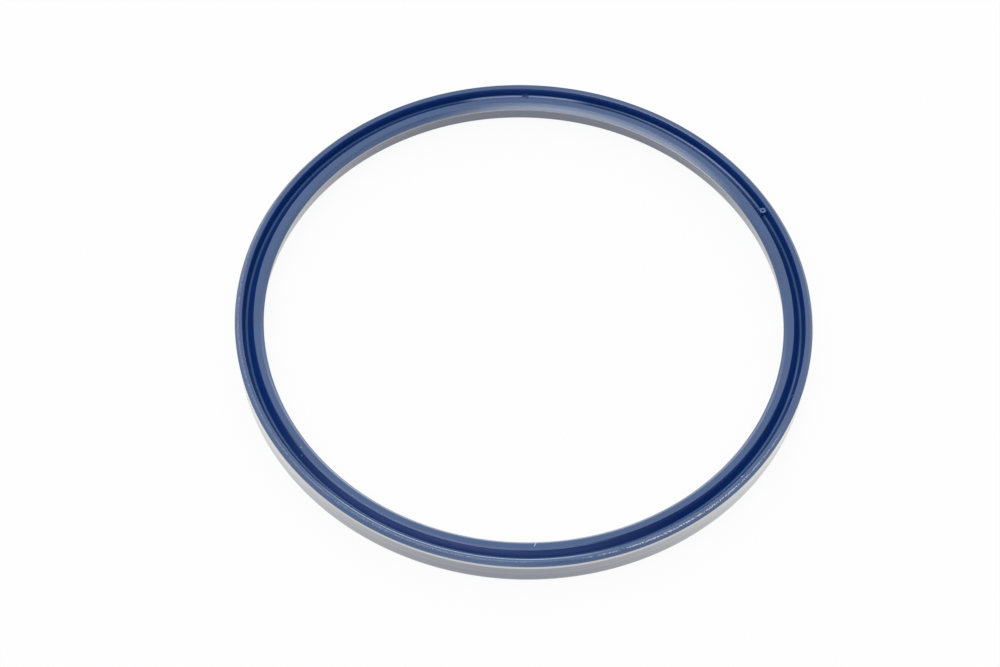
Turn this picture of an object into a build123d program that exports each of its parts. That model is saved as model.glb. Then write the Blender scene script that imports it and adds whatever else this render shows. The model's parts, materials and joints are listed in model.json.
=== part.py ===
from build123d import *
import os
from math import radians, tan

# Rod seal with a U-shaped section, moulded in one piece from polyurethane.
# The ring stands on the flat face of its heel, with both lips and the groove
# between them facing up. Millimetres, +Z up, origin on the ring's axis in the
# plane of the heel face. "Inner" is the rod's side, "outer" the gland's side.

# What the ring is made for
rod_diameter = 150.0
section_width = 7.5  # radial room between the rod and the gland's wall
gland_diameter = rod_diameter + 2 * section_width

# Heel, the solid back of the ring
heel_height = 4.3  # where the walls start to lean out into the lips
heel_rod_clearance = 0.35  # radial
heel_gland_clearance = 0.2
inner_heel_chamfer_width = 1.2
inner_heel_chamfer_height = 1.6
outer_heel_chamfer_width = 0.35
outer_heel_chamfer_height = 0.55

# Inner lip, which presses on the rod
inner_lip_height = 8.6  # at the groove
inner_lip_fall = 0.15  # from the groove down to the crease
inner_lip_land = 1.92
inner_lip_interference = 0.6  # radial, before the rod squeezes it
inner_bevel_width = 0.85
inner_bevel_height = 1.25
inner_seal_band = 0.8  # height of the cylinder that touches the rod

# Outer lip, which presses on the gland's wall
outer_lip_height = 9.4  # at the crease, the highest line of the ring
outer_lip_fall = 0.4  # from the crease down to the groove
outer_lip_land = 1.17
outer_lip_interference = 0.1
outer_bevel_width = 0.9
outer_bevel_height = 1.15
outer_seal_band = 0.8

# Groove between the lips
groove_depth = 2.7  # from its edge on the outer lip down to where its walls would meet
groove_outer_wall_angle = 23.0  # from the ring's axis
groove_bottom_radius = 0.5
groove_edge_radius = 0.15

# Gate pips, two small posts with a dimpled top that the mould leaves in the groove
first_pip_angle = 29.7  # degrees about +Z from +X
first_pip_height = 1.95  # above the line where the groove's walls would meet
second_pip_angle = 91.8
second_pip_height = 1.0
pip_diameter = 1.7
pip_dimple_diameter = 0.7
pip_dimple_depth = 0.25

# Radii of the section's corners, from the rod outwards
inner_band_radius = rod_diameter / 2 - inner_lip_interference
inner_crease_radius = inner_band_radius + inner_bevel_width
inner_edge_radius = inner_crease_radius + inner_lip_land
heel_bore_radius = rod_diameter / 2 + heel_rod_clearance
heel_outer_radius = gland_diameter / 2 - heel_gland_clearance
outer_band_radius = gland_diameter / 2 + outer_lip_interference
outer_crease_radius = outer_band_radius - outer_bevel_width
outer_edge_radius = outer_crease_radius - outer_lip_land
groove_radius = outer_edge_radius - groove_depth * tan(radians(groove_outer_wall_angle))

# Heights of the section's corners, from the heel face up
inner_crease_height = inner_lip_height - inner_lip_fall
inner_band_top = inner_crease_height - inner_bevel_height
outer_edge_height = outer_lip_height - outer_lip_fall
outer_band_top = outer_lip_height - outer_bevel_height
groove_floor = outer_edge_height - groove_depth

# Ring
with BuildPart() as seal_ring:
    with BuildSketch(Plane.XZ) as section:
        with BuildLine():
            Polyline(
                (heel_bore_radius + inner_heel_chamfer_width, 0),
                (heel_outer_radius - outer_heel_chamfer_width, 0),
                (heel_outer_radius, outer_heel_chamfer_height),
                (heel_outer_radius, heel_height),
                (outer_band_radius, outer_band_top - outer_seal_band),
                (outer_band_radius, outer_band_top),
                (outer_crease_radius, outer_lip_height),
                (outer_edge_radius, outer_edge_height),
                (groove_radius, groove_floor),
                (inner_edge_radius, inner_lip_height),
                (inner_crease_radius, inner_crease_height),
                (inner_band_radius, inner_band_top),
                (inner_band_radius, inner_band_top - inner_seal_band),
                (heel_bore_radius, heel_height),
                (heel_bore_radius, inner_heel_chamfer_height),
                close=True,
            )
        make_face()
        for corner_radius, corner_height, rounding in (
            (groove_radius, groove_floor, groove_bottom_radius),
            (inner_edge_radius, inner_lip_height, groove_edge_radius),
            (outer_edge_radius, outer_edge_height, groove_edge_radius),
        ):
            corner = section.vertices().sort_by_distance((corner_radius, corner_height, 0))[0]
            fillet(corner, rounding)
    revolve(axis=Axis.Z)

    # The pips stand on the bottom of the groove, the second trimmed shorter
    for pip_angle, pip_height in (
        (first_pip_angle, first_pip_height),
        (second_pip_angle, second_pip_height),
    ):
        with BuildSketch(Plane.XY.offset(groove_floor)):
            with PolarLocations(groove_radius, 1, start_angle=pip_angle):
                Circle(pip_diameter / 2)
        extrude(amount=pip_height)
        with BuildSketch(Plane.XY.offset(groove_floor + pip_height)):
            with PolarLocations(groove_radius, 1, start_angle=pip_angle):
                Circle(pip_dimple_diameter / 2)
        extrude(amount=-pip_dimple_depth, mode=Mode.SUBTRACT)

seal_ring.part.label = "seal_ring"

os.makedirs("parts", exist_ok=True)
export_step(seal_ring.part, "parts/seal_ring.step")
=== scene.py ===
"""Looks of the rod seal: one ring of blue polyurethane, lying on its heel with its lips up.

The ring's section is turned again here, in metres, with the small roundings, trimmed
edges and gate pips of a moulded seal, and takes the place of the plain CAD solid.
"""

import json
import logging
import math
from dataclasses import dataclass
from enum import Enum
from typing import Sequence

import bmesh
import bpy
from mathutils import Matrix, Vector


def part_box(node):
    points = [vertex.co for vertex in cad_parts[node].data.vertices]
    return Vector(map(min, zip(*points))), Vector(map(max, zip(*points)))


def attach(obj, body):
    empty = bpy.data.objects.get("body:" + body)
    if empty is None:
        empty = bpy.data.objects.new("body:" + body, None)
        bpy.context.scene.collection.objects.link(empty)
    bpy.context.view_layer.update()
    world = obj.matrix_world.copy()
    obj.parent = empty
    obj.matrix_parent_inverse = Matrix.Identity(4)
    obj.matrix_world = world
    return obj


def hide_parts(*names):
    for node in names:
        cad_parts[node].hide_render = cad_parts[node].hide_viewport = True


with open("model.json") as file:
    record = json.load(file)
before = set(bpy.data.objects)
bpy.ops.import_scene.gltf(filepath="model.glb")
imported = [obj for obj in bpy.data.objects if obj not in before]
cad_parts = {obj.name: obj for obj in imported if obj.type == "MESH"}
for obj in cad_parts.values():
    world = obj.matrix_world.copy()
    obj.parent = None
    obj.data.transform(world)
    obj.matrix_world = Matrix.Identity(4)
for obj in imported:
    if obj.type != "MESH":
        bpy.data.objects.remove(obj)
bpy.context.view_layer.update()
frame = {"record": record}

MM = 0.001
NODE = "seal_ring"
BODY = "root"

# Places of a Mix node's colour sockets, whose names repeat for each kind of value
MIX_FIRST, MIX_SECOND, MIX_RESULT = 6, 7, 2

# Radius, in metres, under which a point of a turned outline lies on its axis
ON_AXIS = 1e-7

log = logging.getLogger("seal")

Colour = tuple[float, float, float, float]
Outline = list[tuple[float, float, "Finish"]]


class Finish(Enum):
    """The ways in which a face of the ring is finished, in the order of its material slots."""

    MOULDED = 0
    TRIMMED = 1
    GROOVE = 2
    GROOVE_BOTTOM = 3
    HEEL = 4
    FLARE = 5
    GLAND_BAND = 6
    ROD_BAND = 7
    RELIEF = 8
    RIM_HIGHLIGHT = 9


def mount(name: str) -> dict:
    """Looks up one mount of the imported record.

    Args:
        name: The mount's name.

    Returns:
        The mount, as the record states it.
    """
    return next(m for m in frame["record"]["mounts"] if m["name"] == name)


def linear(red: int, green: int, blue: int) -> Colour:
    """Turns a screen colour into the linear colour that a shader takes.

    Args:
        red: Red, from 0 to 255.
        green: Green, from 0 to 255.
        blue: Blue, from 0 to 255.

    Returns:
        The linear colour, with full alpha.
    """

    def channel(value: int) -> float:
        """Undoes the curve of the sRGB standard, whose own constants these are."""
        share = value / 255
        return share / 12.92 if share <= 0.04045 else ((share + 0.055) / 1.055) ** 2.4

    return channel(red), channel(green), channel(blue), 1.0


def around(radius: float, angle: float, height: float) -> Vector:
    """Finds a point about the upright axis.

    Args:
        radius: Distance from the axis.
        angle: Angle about it, in radians from +X.
        height: Height of the point.

    Returns:
        The point.
    """
    return Vector((radius * math.cos(angle), radius * math.sin(angle), height))


@dataclass(frozen=True)
class Noise:
    """What a noise is made of.

    Attributes:
        scale: Waves per metre.
        detail: Number of finer layers.
        rough: Strength of the finer layers.
    """

    scale: float
    detail: float
    rough: float


@dataclass
class NodeDesk:
    """A short way to place and join the nodes of one tree.

    Attributes:
        tree: The node tree that is worked on.
    """

    tree: bpy.types.NodeTree

    def add(self, kind: str, **values: object) -> bpy.types.Node:
        """Places a node.

        Args:
            kind: The node's type, such as ShaderNodeMath.
            **values: Its properties, by name.

        Returns:
            The new node.
        """
        node = self.tree.nodes.new(kind)
        for name, value in values.items():
            setattr(node, name, value)
        return node

    def group(self, name: str, **sources: object) -> bpy.types.Node:
        """Places a node group and feeds its inputs.

        Args:
            name: The group's name.
            **sources: Sockets or numbers, by the inputs' names.

        Returns:
            The new node.
        """
        node = self.add("ShaderNodeGroup", node_tree=bpy.data.node_groups[name])
        for socket, source in sources.items():
            self.feed(node.inputs[socket], source)
        return node

    def feed(self, socket: bpy.types.NodeSocket, source: object) -> None:
        """Joins a socket to another one, or sets its value.

        Args:
            socket: The input socket.
            source: An output socket, or a plain value.
        """
        if isinstance(source, bpy.types.NodeSocket):
            self.tree.links.new(source, socket)
        else:
            socket.default_value = source

    def math(self, operation: str, *sources: object) -> bpy.types.NodeSocket:
        """Works a number out of up to three others.

        Args:
            operation: The Math node's operation.
            *sources: Sockets or numbers.

        Returns:
            The result's socket.
        """
        node = self.add("ShaderNodeMath", operation=operation)
        for socket, source in zip(node.inputs, sources):
            self.feed(socket, source)
        return node.outputs[0]

    def ramp(self, value: bpy.types.NodeSocket, start: float, end: float) -> bpy.types.NodeSocket:
        """Rises smoothly from 0 to 1 as a value goes from one number to another.

        Args:
            value: The value that is read.
            start: Where the result is 0.
            end: Where it is 1.

        Returns:
            The result's socket.
        """
        node = self.add("ShaderNodeMapRange", interpolation_type="SMOOTHSTEP")
        self.feed(node.inputs["Value"], value)
        self.feed(node.inputs["From Min"], start)
        self.feed(node.inputs["From Max"], end)
        return node.outputs["Result"]

    def noise(
        self,
        vector: bpy.types.NodeSocket,
        kind: Noise,
        scale: bpy.types.NodeSocket | None = None,
    ) -> bpy.types.NodeSocket:
        """Adds a noise over the surface.

        Args:
            vector: The place that is read.
            kind: What the noise is made of.
            scale: Gives the waves per metre in place of the kind's own number.

        Returns:
            The noise's value, from 0 to 1.
        """
        node = self.add("ShaderNodeTexNoise", noise_dimensions="3D")
        self.feed(node.inputs["Vector"], vector)
        self.feed(node.inputs["Scale"], kind.scale if scale is None else scale)
        self.feed(node.inputs["Detail"], kind.detail)
        self.feed(node.inputs["Roughness"], kind.rough)
        return node.outputs["Fac"]

    def blend(self, factor: object, first: object, second: object) -> bpy.types.NodeSocket:
        """Mixes two colours.

        Args:
            factor: Share of the second, from 0 to 1.
            first: The colour at 0.
            second: The colour at 1.

        Returns:
            The mixed colour's socket.
        """
        node = self.add("ShaderNodeMix", data_type="RGBA")
        self.feed(node.inputs["Factor"], factor)
        self.feed(node.inputs[MIX_FIRST], first)
        self.feed(node.inputs[MIX_SECOND], second)
        return node.outputs[MIX_RESULT]


def group_sockets(tree: bpy.types.NodeTree, inputs: dict[str, float], outputs: Sequence[str]) -> None:
    """Gives a node group its named sockets.

    Args:
        tree: The group's tree.
        inputs: Default value of each input, by name.
        outputs: Names of the outputs.
    """
    for name, value in inputs.items():
        socket = tree.interface.new_socket(name, in_out="INPUT", socket_type="NodeSocketFloat")
        socket.default_value = value
    for name in outputs:
        tree.interface.new_socket(name, in_out="OUTPUT", socket_type="NodeSocketFloat")


@dataclass(frozen=True)
class RingCoordinates:
    """Node group: where a point of the surface lies on the ring.

    Attributes:
        name: The group's name.
    """

    name: str = "ring_coordinates"

    def build(self) -> bpy.types.NodeTree:
        """Makes the group.

        Returns:
            The group, with the outputs Radius, Angle, Height and Along, the arc's length.
        """
        tree = bpy.data.node_groups.new(self.name, "ShaderNodeTree")
        group_sockets(tree, {}, ("Radius", "Angle", "Height", "Along"))
        desk = NodeDesk(tree)
        place = desk.add("ShaderNodeTexCoord").outputs["Object"]
        parts = desk.add("ShaderNodeSeparateXYZ")
        desk.feed(parts.inputs[0], place)
        x, y, z = parts.outputs
        square = desk.math("ADD", desk.math("MULTIPLY", x, x), desk.math("MULTIPLY", y, y))
        radius = desk.math("SQRT", square)
        angle = desk.math("ARCTAN2", y, x)
        out = desk.add("NodeGroupOutput")
        desk.feed(out.inputs["Radius"], radius)
        desk.feed(out.inputs["Angle"], desk.math("WRAP", desk.math("DEGREES", angle), 360.0, 0.0))
        desk.feed(out.inputs["Height"], z)
        desk.feed(out.inputs["Along"], desk.math("MULTIPLY", angle, radius))
        return tree


@dataclass(frozen=True)
class MouldGrain:
    """Node group: the cloudy colour, fine grain and drawn streaks of a moulded, trimmed ring.

    Attributes:
        name: The group's name.
        cloud: Noise of the colour.
        grain: Noise of the fine grain.
        streak: Noise of the streaks.
        stretch: Share of the way along the ring that the streaks read, which draws them out.
    """

    name: str = "mould_grain"
    cloud: Noise = Noise(60.0, 4.0, 0.6)
    grain: Noise = Noise(2600.0, 2.0, 0.5)
    streak: Noise = Noise(2400.0, 2.0, 0.6)
    stretch: float = 0.02

    def build(self) -> bpy.types.NodeTree:
        """Makes the group.

        Returns:
            The group, with the outputs Cloud, Grain and Streak, each from 0 to 1.
        """
        tree = bpy.data.node_groups.new(self.name, "ShaderNodeTree")
        kinds = {"Cloud": self.cloud, "Grain": self.grain, "Streak": self.streak}
        group_sockets(tree, {f"{name} Scale": kind.scale for name, kind in kinds.items()}, tuple(kinds))
        desk = NodeDesk(tree)
        given = desk.add("NodeGroupInput").outputs
        place = desk.add("ShaderNodeTexCoord").outputs["Object"]
        ring = desk.group(RingCoordinates.name).outputs
        drawn = desk.add("ShaderNodeCombineXYZ")
        desk.feed(drawn.inputs["X"], desk.math("MULTIPLY", ring["Along"], self.stretch))
        desk.feed(drawn.inputs["Y"], ring["Radius"])
        desk.feed(drawn.inputs["Z"], ring["Height"])
        places = {"Cloud": place, "Grain": place, "Streak": drawn.outputs["Vector"]}
        out = desk.add("NodeGroupOutput")
        for name, kind in kinds.items():
            desk.feed(out.inputs[name], desk.noise(places[name], kind, given[f"{name} Scale"]))
        return tree


@dataclass(frozen=True)
class CreaseHighlight:
    """Node group: a pale painted highlight line, which follows a circle over part of the ring.

    Attributes:
        name: The group's name.
        dots: Noise that breaks the line into specks.
        dot_edges: Values of it between which a speck fades in.
        patches: Noise that gathers the specks in patches.
        patch_edges: Values of it between which a patch fades in.
    """

    name: str = "crease_highlight"
    dots: Noise = Noise(2700.0, 2.0, 0.6)
    dot_edges: tuple[float, float] = (0.45, 0.56)
    patches: Noise = Noise(320.0, 2.0, 0.6)
    patch_edges: tuple[float, float] = (0.32, 0.48)

    def build(self) -> bpy.types.NodeTree:
        """Makes the group.

        Returns:
            The group. Its inputs are the circle's Radius and the line's Width in metres, the
            angles From and To in degrees, over Fade degrees, and how Broken the line is.
        """
        tree = bpy.data.node_groups.new(self.name, "ShaderNodeTree")
        inputs = {"Radius": 0.08, "Width": 0.0003, "From": 0.0, "To": 360.0, "Fade": 8.0, "Broken": 0.5}
        group_sockets(tree, inputs, ("Highlight",))
        desk = NodeDesk(tree)
        given = desk.add("NodeGroupInput").outputs
        ring = desk.group(RingCoordinates.name).outputs
        angle = ring["Angle"]
        away = desk.math("ABSOLUTE", desk.math("SUBTRACT", ring["Radius"], given["Radius"]))
        across = desk.math("SUBTRACT", 1.0, desk.ramp(away, 0.0, given["Width"]))
        start = desk.ramp(angle, given["From"], desk.math("ADD", given["From"], given["Fade"]))
        stop = desk.ramp(angle, desk.math("SUBTRACT", given["To"], given["Fade"]), given["To"])
        within = desk.math("MULTIPLY", start, desk.math("SUBTRACT", 1.0, stop))
        place = desk.add("ShaderNodeTexCoord").outputs["Object"]
        dots = desk.ramp(desk.noise(place, self.dots), *self.dot_edges)
        patches = desk.ramp(desk.noise(place, self.patches), *self.patch_edges)
        specks = desk.math("MULTIPLY", dots, patches)
        gaps = desk.math("MULTIPLY", desk.math("SUBTRACT", 1.0, specks), given["Broken"])
        whole = desk.math("MULTIPLY", across, within)
        out = desk.add("NodeGroupOutput")
        desk.feed(out.inputs["Highlight"], desk.math("MULTIPLY", whole, desk.math("SUBTRACT", 1.0, gaps)))
        return tree


@dataclass(frozen=True)
class HighlightLine:
    """One painted highlight line on the ring, along a crease, a crest or the groove.

    Attributes:
        radius: Radius of its circle, in metres.
        width: Half its width, in metres.
        span: Angles at which it starts and ends, in degrees.
        fade: Angle over which it starts and ends.
        broken: How far it breaks up into specks, from 0 to 1.
        strength: Share of the pale colour, from 0 to 1.
    """

    radius: float
    width: float
    span: tuple[float, float]
    fade: float
    broken: float
    strength: float

    def highlight_and_wear(self, desk: NodeDesk) -> bpy.types.NodeSocket:
        """Adds the line to a material.

        Args:
            desk: The material's desk.

        Returns:
            The line's mask.
        """
        line = desk.group(
            CreaseHighlight.name,
            Radius=self.radius,
            Width=self.width,
            From=self.span[0],
            To=self.span[1],
            Fade=self.fade,
            Broken=self.broken,
        )
        return desk.math("MULTIPLY", line.outputs["Highlight"], self.strength)


@dataclass(frozen=True)
class ScratchMark:
    """Node group: a short pale scratch, which runs across the ring.

    Attributes:
        name: The group's name.
        whole: Share of the half length over which the scratch has its full strength.
    """

    name: str = "scratch_mark"
    whole: float = 0.7

    def build(self) -> bpy.types.NodeTree:
        """Makes the group.

        Returns:
            The group. Its inputs are the Angle and Radius of the scratch's middle, in degrees
            and metres, its Length, Width and Slant, the run along the ring for each step outwards.
        """
        tree = bpy.data.node_groups.new(self.name, "ShaderNodeTree")
        inputs = {"Angle": 0.0, "Radius": 0.08, "Length": 0.001, "Width": 0.0002, "Slant": 0.0}
        group_sockets(tree, inputs, ("Mark",))
        desk = NodeDesk(tree)
        given = desk.add("NodeGroupInput").outputs
        ring = desk.group(RingCoordinates.name).outputs
        turn = desk.math("RADIANS", desk.math("SUBTRACT", ring["Angle"], given["Angle"]))
        along = desk.math("MULTIPLY", turn, ring["Radius"])
        outwards = desk.math("SUBTRACT", ring["Radius"], given["Radius"])
        line = desk.math("MULTIPLY", outwards, given["Slant"])
        away = desk.math("ABSOLUTE", desk.math("SUBTRACT", along, line))
        across = desk.math("SUBTRACT", 1.0, desk.ramp(away, 0.0, given["Width"]))
        half = desk.math("MULTIPLY", given["Length"], 0.5)
        taper = desk.math("MULTIPLY", given["Length"], 0.5 * self.whole)
        within = desk.math("SUBTRACT", 1.0, desk.ramp(desk.math("ABSOLUTE", outwards), taper, half))
        out = desk.add("NodeGroupOutput")
        desk.feed(out.inputs["Mark"], desk.math("MULTIPLY", across, within))
        return tree


@dataclass(frozen=True)
class Scratch:
    """One short scratch, nick or speck of flash on the ring.

    Attributes:
        angle: Angle of its middle, in degrees.
        radius: Radius of its middle, in metres.
        length: Its length outwards, in metres.
        width: Half its width, in metres.
        slant: Its run along the ring for each step outwards.
        strength: Share of the pale colour, from 0 to 1.
    """

    angle: float
    radius: float
    length: float
    width: float
    slant: float
    strength: float

    def highlight_and_wear(self, desk: NodeDesk) -> bpy.types.NodeSocket:
        """Adds the scratch to a material.

        Args:
            desk: The material's desk.

        Returns:
            The scratch's mask.
        """
        mark = desk.group(
            ScratchMark.name,
            Angle=self.angle,
            Radius=self.radius,
            Length=self.length,
            Width=self.width,
            Slant=self.slant,
        )
        return desk.math("MULTIPLY", mark.outputs["Mark"], self.strength)


@dataclass(frozen=True)
class Polyurethane:
    """A finish of the seal's polyurethane.

    Attributes:
        name: The material's name.
        deep: The darker colour of its clouds.
        pale: The lighter colour of its clouds.
        ior: Index of refraction under the coat.
        glaze: Most of the coat, which gathers on faces that are seen at a slant.
        gather: Slants at which the coat starts and is full, from 0 face on to 1 edge on.
        coat_ior: Index of refraction of the coat.
        coat_roughness: Roughness of the coat.
        marks: Its painted highlight lines and its scratches.
        highlight_and_scratch_colour: Colour of the painted highlights and of the scratches.
        roughness: Middle roughness.
        roughness_spread: How far the grain moves the roughness.
        grain_depth: Height of the bump, in metres.
        streaks: Share of the drawn streaks in the bump, from 0 to 1.
    """

    name: str
    deep: Colour
    pale: Colour
    ior: float
    glaze: float = 0.0
    gather: tuple[float, float] = (0.45, 0.8)
    coat_ior: float = 4.0
    coat_roughness: float = 0.12
    marks: tuple[HighlightLine | Scratch, ...] = ()
    # Near-white blue of the painted highlights and of the scratches
    highlight_and_scratch_colour: Colour = linear(218, 232, 255)
    roughness: float = 0.2
    roughness_spread: float = 0.05
    grain_depth: float = 0.004 * MM
    streaks: float = 0.3

    def build(self) -> bpy.types.Material:
        """Makes the material.

        Returns:
            The material, ready for a slot.
        """
        material = bpy.data.materials.new(self.name)
        material.use_nodes = True
        desk = NodeDesk(material.node_tree)
        shader = material.node_tree.nodes["Principled BSDF"]
        shader.inputs["IOR"].default_value = self.ior
        shader.inputs["Coat IOR"].default_value = self.coat_ior
        shader.inputs["Coat Roughness"].default_value = self.coat_roughness
        slant = desk.add("ShaderNodeLayerWeight").outputs["Facing"]
        gathered = desk.ramp(slant, *self.gather)
        desk.feed(shader.inputs["Coat Weight"], desk.math("MULTIPLY", gathered, self.glaze))
        grain = desk.group(MouldGrain.name).outputs
        colour = desk.blend(grain["Cloud"], self.deep, self.pale)
        # Painted highlight lines and scratches are blended in, in the pale colour
        for mark in self.marks:
            colour = desk.blend(mark.highlight_and_wear(desk), colour, self.highlight_and_scratch_colour)
        desk.feed(shader.inputs["Base Color"], colour)
        least = self.roughness - self.roughness_spread
        rough = desk.math("MULTIPLY_ADD", grain["Grain"], 2 * self.roughness_spread, least)
        desk.feed(shader.inputs["Roughness"], rough)
        relief = desk.add("ShaderNodeMix", data_type="FLOAT")
        desk.feed(relief.inputs["Factor"], self.streaks)
        desk.feed(relief.inputs["A"], grain["Grain"])
        desk.feed(relief.inputs["B"], grain["Streak"])
        bump = desk.add("ShaderNodeBump")
        desk.feed(bump.inputs["Distance"], self.grain_depth)
        desk.feed(bump.inputs["Height"], relief.outputs["Result"])
        desk.feed(shader.inputs["Normal"], bump.outputs["Normal"])
        return material


@dataclass(frozen=True)
class Corner:
    """A corner of the turned section.

    Attributes:
        radius: Distance from the ring's axis, in metres.
        height: Height above the heel face, in metres.
        rounding: Radius of its rounding, in metres, or 0 for none.
        finish: Finish of the face that leads on from it.
    """

    radius: float
    height: float
    rounding: float
    finish: Finish

    @property
    def point(self) -> Vector:
        """The corner as a vector of radius and height."""
        return Vector((self.radius, self.height))


@dataclass
class GatePip:
    """A small post with a dimpled top, which the mould's gate leaves in the groove.

    Lengths are in metres.

    Attributes:
        angle: Its place about the ring's axis, in degrees from +X.
        foot: Height of its foot.
        top: Height of its rim.
        rim: Finish of the rim, where the rest is finished as the groove is.
        radius: Outer radius.
        dimple_radius: Radius of the dimple.
        dimple_depth: Depth of the dimple.
        rim_rounding: Radius of the rim's edge.
        rim_margin: Share of that edge, from outside, which isn't finished as the rim.
        rim_slope: Least upward part of the normal of a face on the rim.
        steps: Number of faces round it.
        edge_steps: Number of faces across the rim's edge, and across the dimple.
    """

    angle: float
    foot: float
    top: float
    rim: Finish
    radius: float = 0.95 * MM
    dimple_radius: float = 0.38 * MM
    dimple_depth: float = 0.25 * MM
    rim_rounding: float = 0.16 * MM
    rim_margin: float = 0.3
    rim_slope: float = 0.5
    steps: int = 40
    edge_steps: int = 6

    def outline(self) -> list[tuple[float, float]]:
        """Works out the outline that is turned.

        Returns:
            Its points as radius and height, from the foot's centre up to the dimple's centre.
        """
        quarter = [math.radians(90 * step / self.edge_steps) for step in range(self.edge_steps + 1)]
        points = [(0.0, self.foot), (self.radius, self.foot)]
        for turn in quarter:
            inwards = self.rim_rounding * (1 - math.cos(turn))
            down = self.rim_rounding * (1 - math.sin(turn))
            points.append((self.radius - inwards, self.top - down))
        for turn in quarter:
            down = self.dimple_depth * math.sin(turn)
            points.append((self.dimple_radius * math.cos(turn), self.top - down))
        return points

    def build(self, ring_radius: float) -> bpy.types.Object:
        """Turns the post and stands it in the groove.

        Args:
            ring_radius: Radius of the circle that it stands on.

        Returns:
            The post's object.
        """
        centre = around(ring_radius, math.radians(self.angle), 0.0)
        mesh = bmesh.new()
        rings = []
        for radius, height in self.outline():
            count = 1 if radius < ON_AXIS else self.steps
            turns = [math.tau * step / count for step in range(count)]
            rings.append([mesh.verts.new(centre + around(radius, turn, height)) for turn in turns])
        for low, high in zip(rings, rings[1:]):
            for step in range(self.steps):
                after = (step + 1) % self.steps
                if len(low) == 1:
                    mesh.faces.new((low[0], high[after], high[step]))
                elif len(high) == 1:
                    mesh.faces.new((low[step], low[after], high[0]))
                else:
                    mesh.faces.new((low[step], low[after], high[after], high[step]))
        bmesh.ops.recalc_face_normals(mesh, faces=mesh.faces)
        for face in mesh.faces:
            reach = (face.calc_center_median() - centre).xy.length
            on_rim = self.dimple_radius < reach < self.radius - self.rim_margin * self.rim_rounding
            finish = self.rim if on_rim and face.normal.z > self.rim_slope else Finish.GROOVE
            face.material_index = finish.value
        data = bpy.data.meshes.new("gate_pip")
        mesh.to_mesh(data)
        mesh.free()
        piece = bpy.data.objects.new("gate_pip", data)
        bpy.context.scene.collection.objects.link(piece)
        return piece


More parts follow.
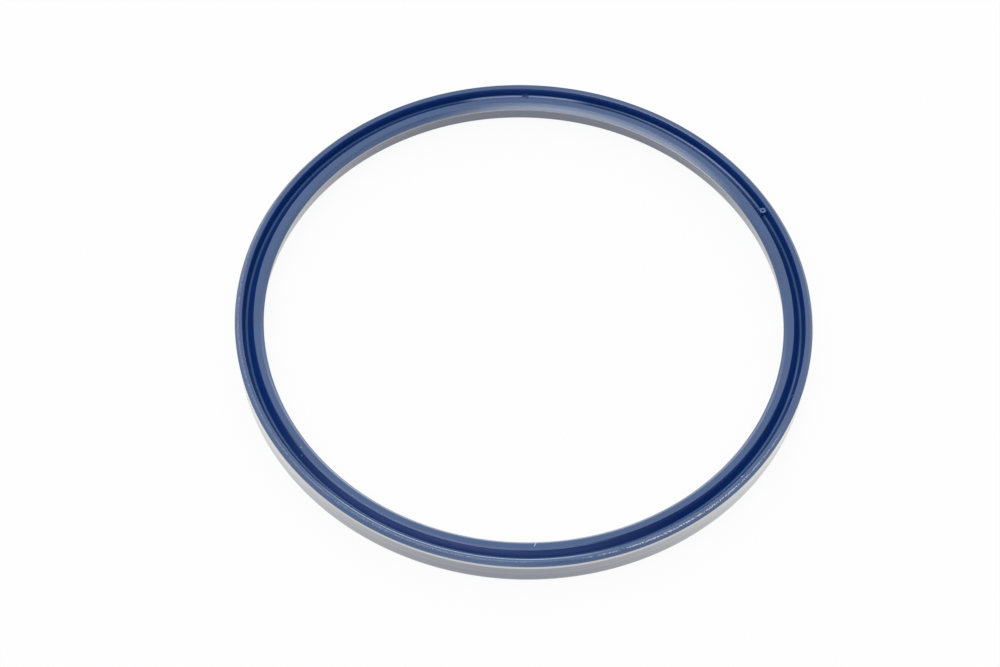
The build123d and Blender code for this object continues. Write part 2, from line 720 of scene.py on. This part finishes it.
@dataclass
class SealRing:
    """The seal itself, from its section to its dressed mesh. Lengths are in metres.

    Attributes:
        rod_lip: Radius of the band that touches the rod.
        gland_lip: Radius of the band that touches the gland's wall.
        height: Height of the outer lip's crease.
        heel_bore: Inner radius of the heel.
        heel_outside: Outer radius of the heel.
        heel_height: Height at which the walls start to lean out into the lips.
        inner_chamfer: Width and height of the heel's inner chamfer.
        outer_chamfer: Width and height of its outer chamfer.
        inner_bevel: Width and height of the inner lip's trimmed bevel.
        outer_bevel: Width and height of the outer lip's bevel.
        band: Height of the bands that touch the rod and the gland's wall.
        gland_gloss: How far the outer band's gloss reaches below it.
        inner_height: Height of the inner lip at the groove.
        inner_fall: How far the inner lip falls from there to its crease.
        inner_land: Width of the inner lip's top.
        outer_fall: How far the outer lip falls from its crease to the groove.
        outer_land: Width of the outer lip's top.
        groove_depth: From its edge on the outer lip down to where its walls would meet.
        groove_angle: Lean of its outer wall from the ring's axis, in radians.
        groove_rounding: Radius of its bottom.
        pips: Angle in degrees, height above the groove's floor and rim's finish of each gate pip.
        turns: Number of faces round the ring.
        longest_step: Longest face on the straight parts of the section.
        finest_step: Longest face on its roundings.
        finest_turn: Largest turn from face to face on its roundings, in radians.
    """

    rod_lip: float = mount("rod_lip")["dims"]["r_mm"] * MM
    gland_lip: float = mount("gland_lip")["dims"]["r_mm"] * MM
    height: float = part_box(NODE)[1][2]
    heel_bore: float = 75.35 * MM
    heel_outside: float = 82.3 * MM
    heel_height: float = 4.3 * MM
    inner_chamfer: tuple[float, float] = (1.2 * MM, 1.6 * MM)
    outer_chamfer: tuple[float, float] = (0.35 * MM, 0.55 * MM)
    inner_bevel: tuple[float, float] = (0.85 * MM, 1.25 * MM)
    outer_bevel: tuple[float, float] = (0.9 * MM, 1.15 * MM)
    band: float = 0.8 * MM
    gland_gloss: float = 0.35 * MM
    inner_height: float = 8.6 * MM
    inner_fall: float = 0.15 * MM
    inner_land: float = 1.98 * MM
    outer_fall: float = 0.4 * MM
    outer_land: float = 1.17 * MM
    groove_depth: float = 2.7 * MM
    groove_angle: float = math.radians(23.0)
    groove_rounding: float = 0.5 * MM
    # The first pip's rim carries a painted highlight; the second's is finished as the groove is
    pips: tuple[tuple[float, float, Finish], ...] = (
        (29.7, 1.95 * MM, Finish.RIM_HIGHLIGHT),
        (91.8, 1.0 * MM, Finish.GROOVE),
    )
    turns: int = 800
    longest_step: float = 0.7 * MM
    finest_step: float = 0.3 * MM
    finest_turn: float = math.radians(12)

    @property
    def inner_crease(self) -> float:
        """Radius of the crease between the inner bevel and the inner lip's top."""
        return self.rod_lip + self.inner_bevel[0]

    @property
    def inner_crest(self) -> float:
        """Radius of the edge between the inner lip's top and the groove."""
        return self.inner_crease + self.inner_land

    @property
    def outer_crease(self) -> float:
        """Radius of the crease between the outer bevel and the outer lip's top."""
        return self.gland_lip - self.outer_bevel[0]

    @property
    def outer_crest(self) -> float:
        """Radius of the edge between the outer lip's top and the groove."""
        return self.outer_crease - self.outer_land

    @property
    def groove_radius(self) -> float:
        """Radius of the line where the groove's walls would meet."""
        return self.outer_crest - self.groove_depth * math.tan(self.groove_angle)

    @property
    def groove_floor(self) -> float:
        """Height of the line where the groove's walls would meet."""
        return self.height - self.outer_fall - self.groove_depth

    def corners(self) -> list[Corner]:
        """Lists the section's corners, from the heel's inner edge outwards and back over the lips.

        Returns:
            The corners, each with the finish of the face that follows.
        """
        moulded, trimmed, groove, heel = Finish.MOULDED, Finish.TRIMMED, Finish.GROOVE, Finish.HEEL
        inner_crease_height = self.inner_height - self.inner_fall
        inner_band_top = inner_crease_height - self.inner_bevel[1]
        outer_band_top = self.height - self.outer_bevel[1]
        flare = (self.gland_lip - self.heel_outside) / (outer_band_top - self.band - self.heel_height)
        gloss_height = outer_band_top - self.band - self.gland_gloss
        gloss_radius = self.gland_lip - self.gland_gloss * flare
        return [
            Corner(self.heel_bore + self.inner_chamfer[0], 0, 0.15 * MM, moulded),
            Corner(self.heel_outside - self.outer_chamfer[0], 0, 0.15 * MM, moulded),
            Corner(self.heel_outside, self.outer_chamfer[1], 0.3 * MM, heel),
            Corner(self.heel_outside, self.heel_height, 20.0 * MM, Finish.FLARE),
            Corner(gloss_radius, gloss_height, 0, Finish.GLAND_BAND),
            Corner(self.gland_lip, outer_band_top - self.band, 5.0 * MM, Finish.GLAND_BAND),
            Corner(self.gland_lip, outer_band_top, 0.3 * MM, trimmed),
            Corner(self.outer_crease, self.height, 0.1 * MM, moulded),
            Corner(self.outer_crest, self.height - self.outer_fall, 0.4 * MM, groove),
            Corner(self.groove_radius, self.groove_floor, self.groove_rounding, groove),
            Corner(self.inner_crest, self.inner_height, 0.35 * MM, moulded),
            Corner(self.inner_crease, inner_crease_height, 0.1 * MM, trimmed),
            Corner(self.rod_lip, inner_band_top, 0.35 * MM, Finish.ROD_BAND),
            Corner(self.rod_lip, inner_band_top - self.band, 1.0 * MM, Finish.RELIEF),
            Corner(self.heel_bore, self.heel_height, 1.5 * MM, heel),
            Corner(self.heel_bore, self.inner_chamfer[1], 0.3 * MM, moulded),
        ]

    def rounded(self, corner: Corner, before: Corner, after: Corner) -> list[Vector]:
        """Rounds one corner.

        Args:
            corner: The corner.
            before: The corner before it.
            after: The corner after it.

        Returns:
            The points of its arc, or the corner alone where it has no rounding.
        """
        if corner.rounding == 0:
            return [corner.point]
        back = (before.point - corner.point).normalized()
        onward = (after.point - corner.point).normalized()
        half = back.angle(onward) / 2
        middle = corner.point + (back + onward).normalized() * corner.rounding / math.sin(half)
        start = corner.point + back * (corner.rounding / math.tan(half))
        turn = math.pi - 2 * half
        if back.cross(onward) > 0:
            turn = -turn
        length = abs(turn) * corner.rounding
        steps = max(2, math.ceil(abs(turn) / self.finest_turn), math.ceil(length / self.finest_step))
        return [
            middle + Matrix.Rotation(turn * step / steps, 2) @ (start - middle)
            for step in range(steps + 1)
        ]

    def outline(self) -> Outline:
        """Joins the rounded corners, with the long faces between them divided.

        Returns:
            The section's points as radius, height and the finish of the face that follows.
        """
        corners = self.corners()
        earlier_ones = corners[-1:] + corners[:-1]
        later_ones = corners[1:] + corners[:1]
        arcs = [self.rounded(*trio) for trio in zip(corners, earlier_ones, later_ones)]
        points: Outline = []
        for index, arc in enumerate(arcs):
            finish = corners[index].finish
            earlier = corners[index - 1].finish
            for step, point in enumerate(arc[:-1]):
                bend = earlier if step < len(arc) // 2 else finish
                # The groove's rounded bottom takes a finish of its own, which carries painted highlight
                # lines
                if earlier is finish is Finish.GROOVE:
                    bend = Finish.GROOVE_BOTTOM
                points.append((point.x, point.y, bend))
            run = arcs[(index + 1) % len(arcs)][0] - arc[-1]
            pieces = max(1, math.ceil(run.length / self.longest_step))
            for piece in range(pieces):
                point = arc[-1] + run * piece / pieces
                points.append((point.x, point.y, finish))
        return points

    def turned(self) -> bpy.types.Mesh:
        """Turns the section about the axis.

        Returns:
            The ring's mesh, with a material index for each finish.
        """
        outline = self.outline()
        mesh = bmesh.new()
        rows = []
        for turn in range(self.turns):
            angle = math.tau * turn / self.turns
            rows.append([mesh.verts.new(around(radius, angle, height)) for radius, height, _ in outline])
        for turn in range(self.turns):
            here, there = rows[turn], rows[(turn + 1) % self.turns]
            for index, (_, _, finish) in enumerate(outline):
                after = (index + 1) % len(outline)
                face = mesh.faces.new((here[index], there[index], there[after], here[after]))
                face.material_index = finish.value
        bmesh.ops.recalc_face_normals(mesh, faces=mesh.faces)
        data = bpy.data.meshes.new("seal_ring_skin")
        mesh.to_mesh(data)
        mesh.free()
        return data

    def build(self) -> bpy.types.Object:
        """Makes the ring's object in its finishes, with its gate pips joined on.

        Returns:
            The ring.
        """
        ring = bpy.data.objects.new("seal_ring_skin", self.turned())
        for finish in self.finishes():
            ring.data.materials.append(finish.build())
        bpy.context.scene.collection.objects.link(ring)
        for angle, height, rim in self.pips:
            pip = GatePip(angle, self.groove_floor, self.groove_floor + height, rim)
            post = pip.build(self.groove_radius)
            union = ring.modifiers.new("gate_pip", "BOOLEAN")
            union.operation = "UNION"
            union.solver = "EXACT"
            union.object = post
            joined = bpy.data.meshes.new_from_object(
                ring.evaluated_get(bpy.context.evaluated_depsgraph_get())
            )
            ring.modifiers.clear()
            ring.data = joined
            bpy.data.objects.remove(post)
        for face in ring.data.polygons:
            face.use_smooth = True
        normals = ring.modifiers.new("face_normals", "WEIGHTED_NORMAL")
        normals.keep_sharp = True
        return ring

    def lip_marks(self) -> tuple[HighlightLine | Scratch, ...]:
        """Lists the painted highlights along the lips' creases, crests and bevels, and their scratches.

        Returns:
            The marks.
        """
        return (
            # Painted glints in specks along the outer crease at the front right, and painted highlight
            # lines along the creases and crests
            HighlightLine(self.outer_crease + 0.07 * MM, 0.26 * MM, (290, 320), 6, 1.0, 1.0),
            HighlightLine(self.outer_crease + 0.07 * MM, 0.26 * MM, (278, 338), 12, 0.95, 0.7),
            HighlightLine(self.outer_crease - 0.1 * MM, 0.45 * MM, (146, 284), 16, 0.8, 0.24),
            HighlightLine(self.outer_crest + 0.02 * MM, 0.34 * MM, (226, 290), 10, 0.1, 0.8),
            HighlightLine(self.inner_crest + 0.05 * MM, 0.25 * MM, (212, 294), 14, 0.1, 0.36),
            HighlightLine(self.inner_crease, 0.28 * MM, (216, 306), 16, 0.1, 0.4),
            HighlightLine(self.inner_crease + 0.02 * MM, 0.4 * MM, (182, 358), 24, 0.1, 0.18),
            # Painted highlight bands on the inner bevel and by the rod band, at the back
            HighlightLine(self.inner_crease - 0.3 * MM, 0.9 * MM, (28, 118), 30, 0.0, 0.24),
            HighlightLine(self.rod_lip + 0.1 * MM, 0.5 * MM, (28, 118), 30, 0.0, 0.28),
            # Scratches and specks of flash
            Scratch(274.2, self.inner_crease + 0.6 * MM, 1.3 * MM, 0.16 * MM, -0.5, 1.0),
            Scratch(319.9, self.outer_crest + 0.05 * MM, 0.5 * MM, 0.3 * MM, 0.0, 1.0),
            Scratch(218.9, self.inner_crest - 0.15 * MM, 0.6 * MM, 0.26 * MM, 0.5, 0.5),
        )

    def groove_marks(self) -> tuple[HighlightLine | Scratch, ...]:
        """Lists the painted reflection and crest highlights of the groove's walls, and their scratches.

        Returns:
            The marks.
        """
        return (
            # Painted reflection: a pale band on the groove's inner wall, strong at the back, faint in
            # front
            HighlightLine(self.groove_radius - 1.1 * MM, 1.6 * MM, (75, 108), 9, 0.0, 0.25),
            HighlightLine(self.groove_radius - 1.1 * MM, 1.6 * MM, (205, 310), 30, 0.0, 0.09),
            # Painted highlight lines along the crests
            HighlightLine(self.inner_crest + 0.15 * MM, 0.2 * MM, (212, 294), 14, 0.1, 0.5),
            HighlightLine(self.outer_crest - 0.14 * MM, 0.36 * MM, (226, 290), 10, 0.1, 1.0),
            # Scratches
            Scratch(220.2, self.inner_crest + 0.9 * MM, 0.4 * MM, 0.2 * MM, 0.0, 0.5),
            Scratch(342.3, self.groove_radius + 0.7 * MM, 1.0 * MM, 0.14 * MM, 0.8, 0.35),
            Scratch(342.3, self.groove_radius + 0.7 * MM, 1.0 * MM, 0.14 * MM, -0.8, 0.35),
        )

    def groove_bottom_highlights(self) -> tuple[HighlightLine | Scratch, ...]:
        """Lists the painted highlight lines in the bottom of the groove, beside the gate pips and in
        front.

        Returns:
            The marks.
        """
        return (
            HighlightLine(self.groove_radius, 0.5 * MM, (20, 74), 30, 0.1, 0.8),
            HighlightLine(self.groove_radius, 0.5 * MM, (77, 107), 6, 0.1, 0.85),
            HighlightLine(self.groove_radius, 0.5 * MM, (195, 360), 15, 0.2, 0.15),
        )

    def finishes(self) -> list[Polyurethane]:
        """Lists the ring's finishes, in the order of the Finish options.

        Returns:
            The finishes.
        """
        deep, pale = linear(23, 66, 117), linear(34, 81, 140)
        # Painted shade: the groove's blue is darker than the lands' blue
        shade, glow = linear(12, 46, 108), linear(16, 53, 122)
        # Painted shade: the walls' blue is darker and duller than the lands' blue
        wall_shade_deep, wall_shade_pale = linear(20, 44, 84), linear(26, 52, 96)
        # Painted highlight on the rim of the first gate pip
        rim_highlight_deep, rim_highlight_pale = linear(84, 122, 176), linear(96, 134, 188)
        # Pale blue of the painted highlights, the painted reflection and the scratches in the groove
        highlight_and_scratch_blue = linear(168, 190, 236)
        lips, walls, bottom_highlights = self.lip_marks(), self.groove_marks(), self.groove_bottom_highlights()
        # Painted highlight along the rod band's upper edge, at the back
        edge = (HighlightLine(self.rod_lip, 0.25 * MM, (28, 118), 30, 0.0, 0.32),)
        return [
            Polyurethane("moulded_polyurethane", deep, pale, 1.8, marks=lips),
            Polyurethane(
                "trimmed_polyurethane",
                deep,
                pale,
                1.75,
                marks=lips,
                roughness=0.3,
                roughness_spread=0.08,
                grain_depth=0.006 * MM,
                streaks=0.8,
            ),
            # The groove in painted shade and its bottom in the lands' blue, both with painted highlight
            # lines
            Polyurethane("groove_polyurethane", shade, glow, 1.38, marks=walls, highlight_and_scratch_colour=highlight_and_scratch_blue),
            Polyurethane("groove_bottom_polyurethane", deep, pale, 1.5, marks=bottom_highlights, highlight_and_scratch_colour=highlight_and_scratch_blue),
            Polyurethane("heel_polyurethane", wall_shade_deep, wall_shade_pale, 2.4, glaze=1.0, gather=(0.42, 0.78)),
            Polyurethane("flare_polyurethane", wall_shade_deep, wall_shade_pale, 2.4, glaze=1.0, gather=(0.5, 0.86)),
            Polyurethane("gland_band_polyurethane", wall_shade_deep, wall_shade_pale, 3.4, glaze=1.0, gather=(0.3, 0.5)),
            Polyurethane(
                "rod_band_polyurethane",
                wall_shade_deep,
                wall_shade_pale,
                2.4,
                glaze=0.7,
                gather=(0.38, 0.62),
                marks=edge,
            ),
            Polyurethane("relief_polyurethane", wall_shade_deep, wall_shade_pale, 2.0, roughness=0.35),
            Polyurethane("rim_highlight_polyurethane", rim_highlight_deep, rim_highlight_pale, 1.6),
        ]

    def dress(self, ring: bpy.types.Object) -> None:
        """Gives the ring its place in the frame.

        Args:
            ring: The ring's object.
        """
        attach(ring, BODY)
        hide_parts(NODE)


@dataclass(frozen=True)
class LightPatch:
    """A soft patch of light in the world round the ring.

    Attributes:
        strength: Its strength where it is full.
        axis: Direction of its middle.
        reach: Cosines of the angles from there at which it ends and is full.
    """

    strength: float
    axis: tuple[float, float, float]
    reach: tuple[float, float]


@dataclass
class Studio:
    """The pale floor and the soft light. Lengths are in metres.

    Attributes:
        floor_side: Length of the floor's side.
        floor_glow: Share of the floor's own white, the rest being its lit surface.
        floor_white: Brightness of the floor's lit surface where it is seen.
        floor_bounce: Brightness of the floor's surface where it lights other things.
        dusk: Strength of the world where no light hangs.
        sky: The broad light above and behind the ring.
        window: The low window in front.
        panel: The higher panel in front.
        rim: Strength of the light round the horizon, in front and behind.
        rim_reach: Heights at which it is full and ends, on a unit sphere.
        rim_turn: Depths between which it goes from the front to the back, on a unit sphere.
        lamp_side: Length of the lamp's side.
        lamp_place: Where the lamp hangs.
        lamp_power: Its power, in watts.
    """

    floor_side: float = 30.0
    floor_glow: float = 0.93
    floor_white: float = 0.97
    floor_bounce: float = 0.5
    dusk: float = 0.15
    sky: LightPatch = LightPatch(0.85, (0.0, 0.55, 0.835), (0.5, 0.75))
    window: LightPatch = LightPatch(0.8, (-0.1, -0.99, 0.05), (0.94, 0.99))
    panel: LightPatch = LightPatch(1.0, (-0.2, -0.8, 0.56), (0.94, 0.99))
    rim: tuple[float, float] = (1.3, 1.4)
    rim_reach: tuple[float, float] = (0.12, 0.45)
    rim_turn: tuple[float, float] = (-0.3, 0.6)
    lamp_side: float = 0.8
    lamp_place: tuple[float, float, float] = (-0.45, -0.35, 1.2)
    lamp_power: float = 4.0

    def build_floor(self) -> None:
        """Lays the floor, which shows as white and keeps a faint shadow."""
        half = self.floor_side / 2
        data = bpy.data.meshes.new("floor")
        data.from_pydata(
            [(-half, -half, 0), (half, -half, 0), (half, half, 0), (-half, half, 0)],
            [],
            [(0, 1, 2, 3)],
        )
        floor = bpy.data.objects.new("floor", data)
        bpy.context.scene.collection.objects.link(floor)
        material = bpy.data.materials.new("pale_floor")
        material.use_nodes = True
        material.node_tree.nodes.clear()
        desk = NodeDesk(material.node_tree)
        path = desk.add("ShaderNodeLightPath")
        seen = desk.math("MAXIMUM", path.outputs["Is Camera Ray"], path.outputs["Is Glossy Ray"])
        seen = desk.math("MAXIMUM", seen, path.outputs["Is Transmission Ray"])
        bounce = desk.add("ShaderNodeBsdfDiffuse")
        bounce.inputs["Color"].default_value = (self.floor_bounce,) * 3 + (1,)
        white = desk.add("ShaderNodeBsdfDiffuse")
        white.inputs["Color"].default_value = (self.floor_white,) * 3 + (1,)
        glow = desk.add("ShaderNodeEmission")
        shown = desk.add("ShaderNodeMixShader")
        desk.feed(shown.inputs[0], self.floor_glow)
        desk.feed(shown.inputs[1], white.outputs[0])
        desk.feed(shown.inputs[2], glow.outputs[0])
        mix = desk.add("ShaderNodeMixShader")
        desk.feed(mix.inputs[0], seen)
        desk.feed(mix.inputs[1], bounce.outputs[0])
        desk.feed(mix.inputs[2], shown.outputs[0])
        out = desk.add("ShaderNodeOutputMaterial")
        desk.feed(out.inputs["Surface"], mix.outputs[0])
        data.materials.append(material)

    def build_lights(self) -> None:
        """Hangs the lamp and lights the world with a low rim and three soft patches."""
        lamp = bpy.data.lights.new("soft_lamp", "AREA")
        lamp.shape = "SQUARE"
        lamp.size = self.lamp_side
        lamp.energy = self.lamp_power
        holder = bpy.data.objects.new("soft_lamp", lamp)
        holder.location = self.lamp_place
        holder.rotation_mode = "QUATERNION"
        holder.rotation_quaternion = (-Vector(self.lamp_place)).to_track_quat("-Z", "Y")
        bpy.context.scene.collection.objects.link(holder)
        world = bpy.data.worlds.new("soft_light")
        world.use_nodes = True
        desk = NodeDesk(world.node_tree)
        background = world.node_tree.nodes["Background"]
        background.inputs["Color"].default_value = (1, 1, 1, 1)
        direction = desk.add("ShaderNodeTexCoord").outputs["Generated"]
        parts = desk.add("ShaderNodeSeparateXYZ")
        desk.feed(parts.inputs[0], direction)
        low = desk.math("SUBTRACT", 1.0, desk.ramp(parts.outputs["Z"], *self.rim_reach))
        behind = desk.ramp(parts.outputs["Y"], *self.rim_turn)
        rim = desk.math("MULTIPLY_ADD", behind, self.rim[1] - self.rim[0], self.rim[0])
        light = desk.math("MULTIPLY_ADD", low, rim, self.dusk)
        for patch in (self.sky, self.window, self.panel):
            toward = desk.add("ShaderNodeVectorMath", operation="DOT_PRODUCT")
            desk.feed(toward.inputs[0], direction)
            desk.feed(toward.inputs[1], patch.axis)
            share = desk.ramp(toward.outputs["Value"], *patch.reach)
            light = desk.math("MULTIPLY_ADD", share, patch.strength, light)
        desk.feed(background.inputs["Strength"], light)
        bpy.context.scene.world = world


@dataclass
class RingCamera:
    """The camera, which looks down on the ring from its front.

    Attributes:
        distance: From the middle of the heel face, in metres.
        elevation: Height of the view, in degrees.
        roll: Turn of the picture, in degrees.
        lens: Focal length, in millimetres.
        sensor: Width of the sensor, in millimetres.
        shift: Sideways and upward shift, as a share of the sensor's width.
        sight: Nearest and farthest distance that it sees, in metres.
    """

    distance: float = 0.7511
    elevation: float = 56.66
    roll: float = -2.41
    lens: float = 93.6
    sensor: float = 36.0
    shift: tuple[float, float] = (-0.02363, -0.0062)
    sight: tuple[float, float] = (0.01, 100.0)

    def build(self) -> None:
        """Makes the camera and gives it to the scene."""
        rise, turn = math.radians(self.elevation), math.radians(self.roll)
        back = Vector((0, -math.cos(rise), math.sin(rise)))
        right = Vector((1, 0, 0))
        up = back.cross(right)
        rolled_right = right * math.cos(turn) - up * math.sin(turn)
        rolled_up = right * math.sin(turn) + up * math.cos(turn)
        data = bpy.data.cameras.new("camera")
        data.lens = self.lens
        data.sensor_width = self.sensor
        data.shift_x, data.shift_y = self.shift
        data.clip_start, data.clip_end = self.sight
        camera = bpy.data.objects.new("camera", data)
        axes = Matrix((rolled_right, rolled_up, back)).transposed()
        camera.matrix_world = Matrix.Translation(back * self.distance) @ axes.to_4x4()
        bpy.context.scene.collection.objects.link(camera)
        bpy.context.scene.camera = camera


def main() -> None:
    """Builds the scene in order: effects, ring, studio, camera."""
    logging.basicConfig(level=logging.INFO, format="%(name)s: %(message)s")
    bpy.context.scene.view_settings.view_transform = "Standard"
    for effect in (RingCoordinates(), MouldGrain(), CreaseHighlight(), ScratchMark()):
        effect.build()
        log.info("effect %s", effect.name)
    seal = SealRing()
    ring = seal.build()
    seal.dress(ring)
    log.info("ring %s with %d faces", ring.name, len(ring.data.polygons))
    studio = Studio()
    studio.build_floor()
    studio.build_lights()
    RingCamera().build()


if __name__ == "__main__":
    main()
